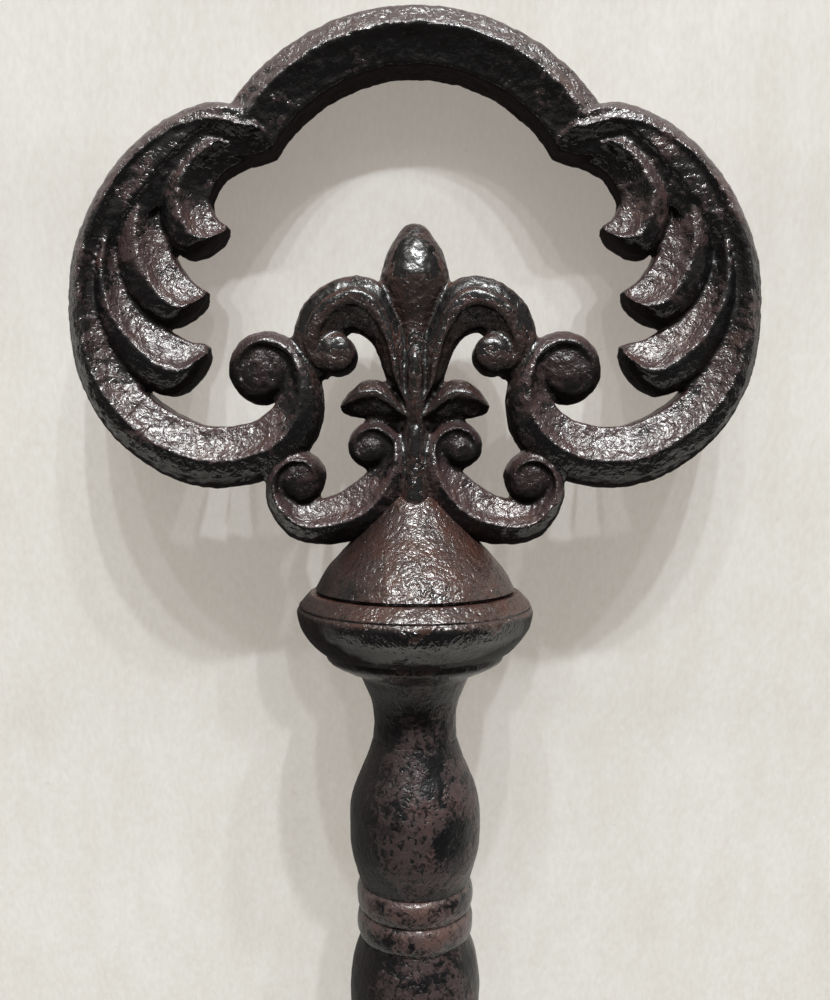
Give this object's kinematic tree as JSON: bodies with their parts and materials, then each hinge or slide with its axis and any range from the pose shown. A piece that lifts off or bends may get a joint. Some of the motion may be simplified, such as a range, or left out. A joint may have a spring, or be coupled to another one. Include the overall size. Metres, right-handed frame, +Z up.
{
  "type": "decorative skeleton key",
  "caption": "Large cast-iron skeleton key for the wall: scrolled bow with a fleur-de-lis, turned collar and balusters, round shank, slotted bit and plain tip.",
  "frame": {"origin": "inside top of the bow's arch, at mid thickness, where a hook or nail holds the key", "axes": "+Z up along the key's length when it hangs, +X to the side that the bit points to, -Y to the front of the bow"},
  "size_m": [0.1284, 0.0448, 0.38],
  "materials": {
    "black_iron": "satin brown and black paint, rubbed, over a sand-cast grain",
    "rusty_iron": "satin rust-brown paint with black patches, over a sand-cast grain",
    "steel": "plain turned steel"
  },
  "bodies": {
    "root": {"arch": "black_iron", "left_lobe": "black_iron", "right_lobe": "black_iron", "fleur_bud": "black_iron", "left_petal": "black_iron", "right_petal": "black_iron", "left_sepal": "black_iron", "right_sepal": "black_iron", "left_base_scroll": "black_iron", "right_base_scroll": "black_iron", "bow_dowels": "steel", "collar_cone": "rusty_iron", "collar_rim": "rusty_iron", "neck_cup": "black_iron", "upper_baluster": "black_iron", "upper_bead_ring": "black_iron", "lower_bead_ring": "black_iron", "lower_baluster": "black_iron", "shank_stop": "black_iron", "shank_tube": "black_iron", "bit": "black_iron", "bit_pins": "steel", "foot_collar": "black_iron", "tip": "black_iron", "tie_rod": "steel", "rod_washer": "steel", "rod_nut": "steel"}
  },
  "joints": []
}
